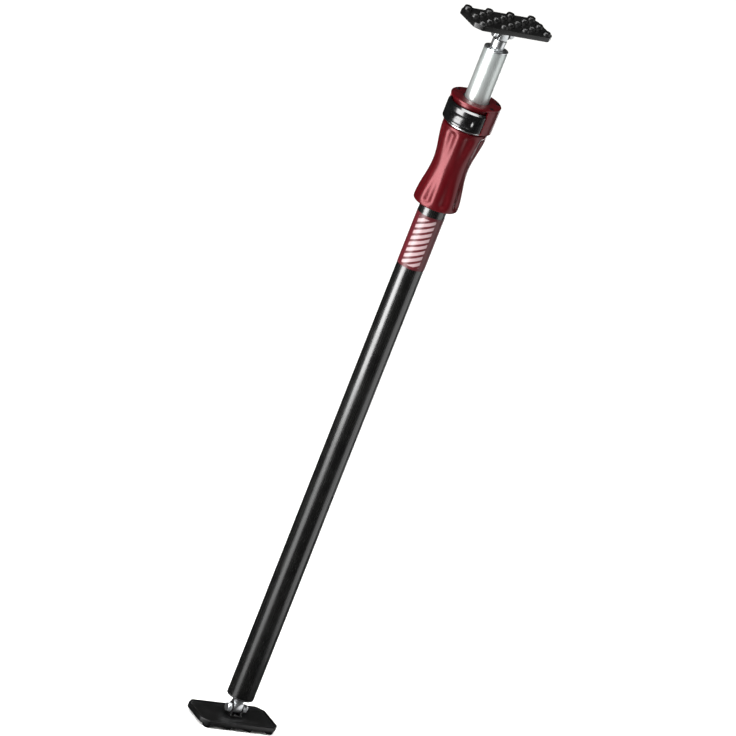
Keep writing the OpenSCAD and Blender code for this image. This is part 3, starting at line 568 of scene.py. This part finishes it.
# %% Pressed parts
RIVET_LOW, RIVET_SEAT, RIVET_OFF, RIVET_R, RIVET_HEAD_R, RIVET_HEAD_H = 7.5, 12.5, 6.0, 1.5, 2.5, 0.8
for end, place in ENDS.items():
    bevelled_copy(end + "_plate_pressing", end + "_pad_plate", 0.5)
    bevelled_copy(end + "_bracket_pressing", end + "_bracket", 0.45)
    crown = RIVET_SEAT + RIVET_HEAD_H
    dome = rounded([(0, RIVET_LOW, 0), (RIVET_R, RIVET_LOW, 0), (RIVET_R, RIVET_SEAT, 0),
                    (RIVET_HEAD_R, RIVET_SEAT, 0), (RIVET_HEAD_R - 0.3, crown - 0.1, 0.5), (0.9, crown, 0),
                    (0, crown, 0)])
    bm = bmesh.new()
    for side_y in (-RIVET_OFF, RIVET_OFF):
        join(bm, lathe(dome, 24, closed=False), Matrix.Translation((0, side_y * MM, 0)))
    bm.transform(place)
    make_piece(end + "_rivet_domes", bm, end + "_rivets")

# %% [markdown]
# ## Bolts and nuts
# A hexagon is turned before it is used: its corners are cut by a cone, and that gives the curved chamfers that are
# seen on every bolt head. Here a turned blank is spun first, and then every point outside the hexagon is drawn in
# to its flat, which leaves the same curves.

# %% Hexagon blanks, cross bolts and lock nuts
BOLT_R, FLATS, PIN_Z = 3.0, 10.0, 20.0
EAR_OUT, WASHER_R, WASHER_T, HEAD_H, NUT_H = 8.1, 6.0, 1.2, 4.0, 5.0
NUT_RING_R, NUT_RING_H, THREAD_OUT, FIT = 4.3, 1.2, 1.5, 0.01
SEAT = EAR_OUT + WASHER_T


def from_flat(co):
    """Angle between a point and the middle of its nearest side of a hexagon."""
    return math.atan2(co.y, co.x) % (math.pi / 3) - math.pi / 6


def to_hexagon(bm, flats):
    """Draws every point outside a hexagon in to its nearest flat."""
    for v in bm.verts:
        limit = flats / 2 * MM / math.cos(from_flat(v.co))
        radius = v.co.xy.length
        if radius > limit:
            scale_radius(v, limit / radius)


def cone(r_from, z_from, r_to, z_to, steps=5):
    """Points along the side of a cone, so that a hexagon can cut it in a curve."""
    return [(r_from + (r_to - r_from) * k / steps, z_from + (z_to - z_from) * k / steps, 0) for k in range(steps)]


CORNER = FLATS / math.sqrt(3)
FACE = FLATS / 2 * 0.94
for end, place in ENDS.items():
    along_x = place @ Matrix.Translation((0, 0, PIN_Z * MM)) @ Matrix.Rotation(math.pi / 2, 4, "Y")
    head = ([(0, -HEAD_H, 0)] + cone(FACE, -HEAD_H, CORNER, -HEAD_H + 0.7) + [(CORNER, -HEAD_H + 0.7, 0)]
            + [(CORNER, -0.3, 0), (FACE, -0.3, 0), (FACE, 0, 0), (0, 0, 0)])
    bm = lathe(rounded(head), 72, closed=False)
    to_hexagon(bm, FLATS)
    bm.transform(Matrix.Translation((0, 0, -SEAT * MM)))
    tip = SEAT + NUT_H + NUT_RING_H + THREAD_OUT
    shank = [(0, -SEAT - 1, 0), (BOLT_R, -SEAT - 1, 0), (BOLT_R, tip - 2.6, 0)]
    for k in range(2):
        crest = tip - 2.4 + 1.0 * k
        shank += [(BOLT_R - 0.45, crest - 0.1, 0), (BOLT_R, crest + 0.35, 0), (BOLT_R, crest + 0.5, 0)]
    shank += [(BOLT_R - 0.5, tip - 0.3, 0), (BOLT_R - 0.8, tip, 0), (0, tip, 0)]
    join(bm, lathe(rounded(shank), 40, closed=False))
    bm.transform(along_x)
    make_piece(end + "_cross_bolt", bm, end + "_pivot_bolt")

    nut = ([(BOLT_R + FIT, 0.4, 0), (BOLT_R + 0.4, 0, 0)] + cone(FACE, 0, CORNER, 0.6)
           + [(CORNER, 0.6, 0), (CORNER, NUT_H - 0.6, 0)] + cone(CORNER, NUT_H - 0.6, FACE, NUT_H)
           + [(NUT_RING_R, NUT_H, 0), (NUT_RING_R, NUT_H + NUT_RING_H, 0.7),
              (NUT_RING_R - 0.7, NUT_H + NUT_RING_H, 0), (BOLT_R + FIT, NUT_H + NUT_RING_H - 0.2, 0)])
    bm = lathe(rounded(nut), 72)
    to_hexagon(bm, FLATS)
    bm.transform(along_x @ Matrix.Translation((0, 0, SEAT * MM)))
    make_piece(end + "_lock_nut", bm, end + "_pivot_nut")

    washer = rounded([(BOLT_R + FIT, 0, 0.2), (WASHER_R, 0, 0.3), (WASHER_R, WASHER_T, 0.45),
                      (BOLT_R + FIT, WASHER_T, 0.2)])
    bm = bmesh.new()
    for where in (-SEAT, EAR_OUT):
        join(bm, lathe(washer, 48), Matrix.Translation((0, 0, where * MM)))
    bm.transform(along_x)
    make_piece(end + "_bolt_washers", bm, end + "_washers")
    bevelled_copy(end + "_eye_stud", end + "_swivel_stud", 0.5)
    bevelled_copy(end + "_plug_moulding", end + "_tube_plug", 0.4)

# %% [markdown]
# ## Outer tube
# Near its top the tube has a rolled thread with a pitch of 5 mm, which the CAD model draws as plain grooves. Here it
# is a true right hand helix. The tube's outline has 16 points to each pitch of the thread, and after the spin each
# point moves inwards by the depth of the groove at its own height and angle. Displacing a closed tube this way leaves
# no seam, where a swept helix would have to be cut into the tube.

# %% Threaded tube
TUBE_LOW, TUBE_HIGH, TUBE_BORE_R = 39.0, 830.0, 16.25
THREAD_LOW, THREAD_HIGH, PITCH, GROOVE = 732.0, 825.0, 5.0, 0.5


def ramp(value, low, high):
    """Rises softly from 0 at low to 1 at high."""
    share = min(max((value - low) / (high - low), 0.0), 1.0)
    return share * share * (3 - 2 * share)


def groove_depth(angle, z):
    """Depth of the thread's groove, in millimetres, which runs out over 4 mm at both ends."""
    phase = ((z - THREAD_LOW) / PITCH - angle / math.tau) % 1.0
    shape = ramp(phase, 0.0, 0.16) * (1 - ramp(phase, 0.34, 0.5))
    return GROOVE * shape * ramp(z, THREAD_LOW, THREAD_LOW + 4) * (1 - ramp(z, THREAD_HIGH - 4, THREAD_HIGH))


rings = int((THREAD_HIGH - THREAD_LOW) * 16 / PITCH)
wall = [(TUBE_R, THREAD_LOW + (THREAD_HIGH - THREAD_LOW) * k / rings, 0) for k in range(rings + 1)]
tube = rounded([(TUBE_BORE_R, TUBE_LOW, 0.25), (TUBE_R, TUBE_LOW, 0.4)] + wall
               + [(TUBE_R, TUBE_HIGH, 0.4), (TUBE_BORE_R, TUBE_HIGH, 0.25)], 3)
bm = lathe(tube, 96)
for v in bm.verts:
    radius = v.co.xy.length / MM
    if radius > TUBE_R - 0.05:
        scale_radius(v, 1 - groove_depth(math.atan2(v.co.y, v.co.x), v.co.z / MM) / radius)
make_piece("threaded_outer_tube", bm, "outer_tube", sharp=50)

# %% [markdown]
# ## Grip
# The grip is an hourglass with eight finger flutes that grow faint at the waist and stop short of both ends, where a
# plain rim is left. It is spun as a smooth hourglass, and then each point moves in by the depth of the flutes there.
# Their section is a soft wave, so the lobes between them have the round shoulders of a moulding.

# %% Fluted grip
GRIP_LOW, GRIP_HIGH, GRIP_EDGE, GRIP_FLOOR = 729.0, 836.0, 2.4, 3.0
LIP_R, SLEEVE_R, WAIST_R, END_R, WAIST_FLUTE = 17.7, 20.0, 22.6, 28.5, 0.35
FLUTES, FLUTE_R, FLUTE_SHARE, FLUTE_DIR, RIM = 8, 7.5, 0.42, 31.0, 10.0
GRIP_MID, GRIP_HALF = (GRIP_LOW + GRIP_HIGH) / 2, (GRIP_HIGH - GRIP_LOW) / 2


def hourglass(z):
    """Radius of the plain grip at a height."""
    u = min(abs(z - GRIP_MID) / (GRIP_HALF - GRIP_EDGE), 1.0)
    return WAIST_R + (END_R - WAIST_R) * (1 - math.cos(math.pi * u)) / 2


def fluted(angle, radius, z):
    """Radius of the grip at a point, with the wave of the flutes."""
    beyond = abs(z - GRIP_MID) - (GRIP_HALF - RIM)
    deepest = (hourglass(z) - WAIST_R) * FLUTE_SHARE + WAIST_FLUTE
    wave = (0.5 + 0.5 * math.cos(FLUTES * (angle - math.radians(FLUTE_DIR)))) ** 1.4
    return radius - deepest * wave * (1 - ramp(beyond, 0.0, FLUTE_R))


low, high = GRIP_LOW + GRIP_EDGE, GRIP_HIGH - GRIP_EDGE
wall = [(hourglass(low + (high - low) * k / 84), low + (high - low) * k / 84, 0) for k in range(85)]
grip = rounded([(LIP_R, GRIP_LOW, 0.6), (END_R - 0.1, GRIP_LOW, 2.2)] + wall[1:-1]
               + [(END_R - 0.1, GRIP_HIGH, 2.2), (SLEEVE_R + FIT, GRIP_HIGH, 0),
                  (SLEEVE_R + FIT, GRIP_LOW + GRIP_FLOOR, 0), (LIP_R, GRIP_LOW + GRIP_FLOOR, 0)], 5)
bm = lathe(grip, 192)
for v in bm.verts:
    radius = v.co.xy.length / MM
    z = v.co.z / MM
    if radius > WAIST_R - 0.5 and low < z < high:
        scale_radius(v, fluted(math.atan2(v.co.y, v.co.x), radius, z) / radius)
make_piece("fluted_grip", bm, "grip", sharp=40)

# %% [markdown]
# ## Collar, cap and their screws
# The collar is a thin moulded cup with a window for the lever, so its wall is spun over the part of a turn that the
# window leaves, and the floor goes on alone under the window. Inside are round bosses for the screws, two cheeks
# that hold the pivot pin, and a shallow pocket in the wall for the tabs of the clutch plates. The cap that closes it
# is spun, with a skirt spun over part of a turn, because an outline gives clean round edges. The screws get low domed
# heads with a hexagon socket; the heads fill the seats in the cap and stand half a millimetre proud.

# %% Collar, cap, screws
CAP_TOP, CAP_LOW, COLLAR_LOW, FLOOR_TOP, COLLAR_R = 872.5, 869.5, 838.0, 842.0, 32.1
BORE_R, WALL_IN_R, WINDOW_R, WINDOW_HALF, SHELF_INSET, SHELF_LAP = 20.05, 29.1, 28.35, 70, 0.02, 2
SCREW_OFF, SCREW_TURNS, LEVER_DIR, LEVER_SPREAD = 27.8, (82, 140, 220, 278), 204, 68
TAB_POCKET, TAB_POCKET_R, BOSS_R, BOSS_LOW, BOSS_TOP = 15.5, 31.1, 2.8, 840.0, 869.4
CHEEK_X, CHEEK_Y, CHEEK_L, CHEEK_T, CHEEK_MID, CHEEK_H = -27.9, 8.7, 4.2, 2.4, 854.75, 29.3
LIP_IN_R, WIPER_R, WIPER_TOP = 16.95, 18.45, 871.7
SKIRT_IN_R, SKIRT_R, SKIRT_LOW, SKIRT_TOP = 25.7, 27.5, 863.3, 871.0
SCREW_HEAD_R, SCREW_HEAD_UP, SCREW_SEAT, SCREW_R, SCREW_LOW = 2.8, 0.5, 870.8, 1.5, 859.8
SOCKET_R, SOCKET_UP = 1.45, 0.05


def at_screw(turn):
    """Place of a screw, counted in degrees from the middle of the lever."""
    angle = math.radians(LEVER_DIR + turn)
    return Matrix.Translation((SCREW_OFF * MM * math.cos(angle), SCREW_OFF * MM * math.sin(angle), 0))


def off_lever(co):
    """Angle between a point and the middle of the lever."""
    return abs((math.atan2(co.y, co.x) - math.radians(LEVER_DIR) + math.pi) % math.tau - math.pi)


wall = rounded([(BORE_R, COLLAR_LOW, 0.2), (COLLAR_R, COLLAR_LOW, 1.2), (COLLAR_R, CAP_LOW, 0.3),
                (WALL_IN_R, CAP_LOW, 0.3), (WALL_IN_R, FLOOR_TOP, 0.5), (BORE_R, FLOOR_TOP, 0.2)])
bm = lathe(wall, 132, angle=math.radians(360 - 2 * WINDOW_HALF), start_angle=math.radians(LEVER_DIR + WINDOW_HALF))
for v in bm.verts:
    radius = v.co.xy.length / MM
    if (math.pi - off_lever(v.co) < math.radians(TAB_POCKET) and WALL_IN_R - 0.2 < radius < WALL_IN_R + 0.5
            and v.co.z > (FLOOR_TOP + 0.2) * MM):
        scale_radius(v, TAB_POCKET_R / radius)
jambs = {e for f in bm.faces if len(f.verts) > 12 for e in f.edges
         if e.calc_length() > 0.4 * MM and min(v.co.xy.length for v in e.verts) > (WALL_IN_R - 1.1) * MM}
bevel(bm, jambs, 0.35, 2)
shelf = rounded([(BORE_R, COLLAR_LOW + SHELF_INSET, 0.2), (WINDOW_R, COLLAR_LOW + SHELF_INSET, 0.5),
                 (WINDOW_R, FLOOR_TOP - SHELF_INSET, 0.4), (BORE_R, FLOOR_TOP - SHELF_INSET, 0.2)])
join(bm, lathe(shelf, 88, angle=math.radians(2 * (WINDOW_HALF + SHELF_LAP)),
               start_angle=math.radians(LEVER_DIR - WINDOW_HALF - SHELF_LAP)))
boss = rounded([(0, BOSS_LOW, 0), (BOSS_R, BOSS_LOW, 0), (BOSS_R, BOSS_TOP, 0.3), (0, BOSS_TOP, 0)])
for turn in SCREW_TURNS:
    join(bm, lathe(boss, 32, closed=False), at_screw(turn))
for cheek_side in (-1, 1):
    cheek = bmesh.new()
    bmesh.ops.create_cube(cheek, size=1)
    join(bm, cheek, Matrix.Rotation(math.radians(LEVER_DIR), 4, "Z")
         @ Matrix.Translation((CHEEK_X * MM, cheek_side * CHEEK_Y * MM, CHEEK_MID * MM))
         @ Matrix.Diagonal((CHEEK_L * MM, CHEEK_T * MM, CHEEK_H * MM, 1)))
make_piece("collar_cup", bm, "collar_housing", sharp=50)

lid = rounded([(LIP_IN_R, WIPER_TOP, 0), (WIPER_R, WIPER_TOP, 0), (WIPER_R, CAP_LOW, 0.2),
               (COLLAR_R, CAP_LOW, 0.4), (COLLAR_R, CAP_TOP, 1.1), (LIP_IN_R, CAP_TOP, 0.35)], 5)
bm = lathe(lid, 144)
skirt = rounded([(SKIRT_IN_R, SKIRT_LOW, 0.3), (SKIRT_R, SKIRT_LOW, 0.5), (SKIRT_R, SKIRT_TOP, 0),
                 (SKIRT_IN_R, SKIRT_TOP, 0)])
join(bm, lathe(skirt, 90, angle=math.radians(2 * LEVER_SPREAD), start_angle=math.radians(LEVER_DIR - LEVER_SPREAD)))
make_piece("collar_lid", bm, "collar_cap", sharp=50)

socket_floor, head_top = CAP_TOP + SOCKET_UP, CAP_TOP + SCREW_HEAD_UP
turned_screw = rounded([(0, socket_floor, 0), (SOCKET_R, socket_floor, 0), (SOCKET_R, head_top - 0.1, 0),
                        (SOCKET_R + 0.25, head_top, 0), (SCREW_HEAD_R, head_top, 0.45), (SCREW_HEAD_R, SCREW_SEAT, 0),
                        (SCREW_R, SCREW_SEAT, 0), (SCREW_R, SCREW_LOW, 0.3), (0, SCREW_LOW, 0)])
bm = bmesh.new()
for turn in SCREW_TURNS:
    screw = lathe(turned_screw, 48, closed=False)
    for v in screw.verts:
        if v.co.z > CAP_TOP * MM and v.co.xy.length < (SOCKET_R + 0.15) * MM:
            scale_radius(v, math.cos(math.pi / 6) / math.cos(from_flat(v.co)))
    join(bm, screw, at_screw(turn))
make_piece("socket_screws", bm, "cap_screws")

# %% [markdown]
# ## Release lever
# The lever is a curved black shell with a hollow for the fingers, and a block behind it that holds the clutch
# plates. The shell's outline is spun over part of a turn. Its outer face is a stack of points, and the hollow is made
# afterwards: each point outside a ring shaped cutter moves in to it, and the cut fades out towards both ends of the
# shell. The upper edge has a chamfer, and it and the lower shoulder of the hollow look up, so they mirror the high
# lamp as bright lines.

# %% Lever shell and block
LEVER_R, LEVER_IN_R, LEVER_LOW, LEVER_HIGH = 32.1, 28.8, 838.8, 864.1
CHAMFER_IN, CHAMFER_DOWN, TIP_R, BLOCK_R = 2.2, 2.6, 0.7, 30.1
HOLLOW_HALF, HOLLOW, HOLLOW_R, HOLLOW_DROP, FACE_LOW, FACE_HIGH = math.radians(46), 2.2, 11.0, 2.4, 2.9, 3.3
HOLLOW_MID = (LEVER_LOW + LEVER_HIGH) / 2 - HOLLOW_DROP
face_h = LEVER_HIGH - LEVER_LOW - FACE_LOW - FACE_HIGH
face = [(LEVER_R, LEVER_LOW + FACE_LOW + face_h * k / 44, 0) for k in range(45)]
shell = rounded([(LEVER_IN_R, LEVER_LOW, 0.3), (LEVER_R, LEVER_LOW, 2.3)] + face
                + [(LEVER_R, LEVER_HIGH - CHAMFER_DOWN, 0.5), (LEVER_R - CHAMFER_IN, LEVER_HIGH, 0.4),
                   (LEVER_IN_R, LEVER_HIGH, 0.3)], 5)
bm = lathe(shell, 120, angle=math.radians(2 * LEVER_SPREAD), start_angle=math.radians(LEVER_DIR - LEVER_SPREAD))
for v in bm.verts:
    radius = v.co.xy.length / MM
    if radius > LEVER_IN_R + 0.6:
        level = min(abs(v.co.z / MM - HOLLOW_MID), HOLLOW_R)
        cutter = LEVER_R - HOLLOW + HOLLOW_R - math.sqrt(HOLLOW_R ** 2 - level ** 2)
        bowl = max(radius - cutter, 0.0) * (1 - ramp(off_lever(v.co), HOLLOW_HALF - 0.12, HOLLOW_HALF + 0.06))
        scale_radius(v, 1 - bowl / radius)
bm.normal_update()
bevel(bm, {e for f in bm.faces if len(f.verts) > 12 for e in f.edges}, TIP_R, 3)
block = bmesh.new()
block.from_mesh(nodes["release_lever"].data)
bmesh.ops.remove_doubles(block, verts=block.verts, dist=2e-6)
bmesh.ops.delete(block, geom=[v for v in block.verts if v.co.xy.length > BLOCK_R * MM], context="VERTS")
join(bm, block)
make_piece("lever_shell", bm, "release_lever", sharp=35)
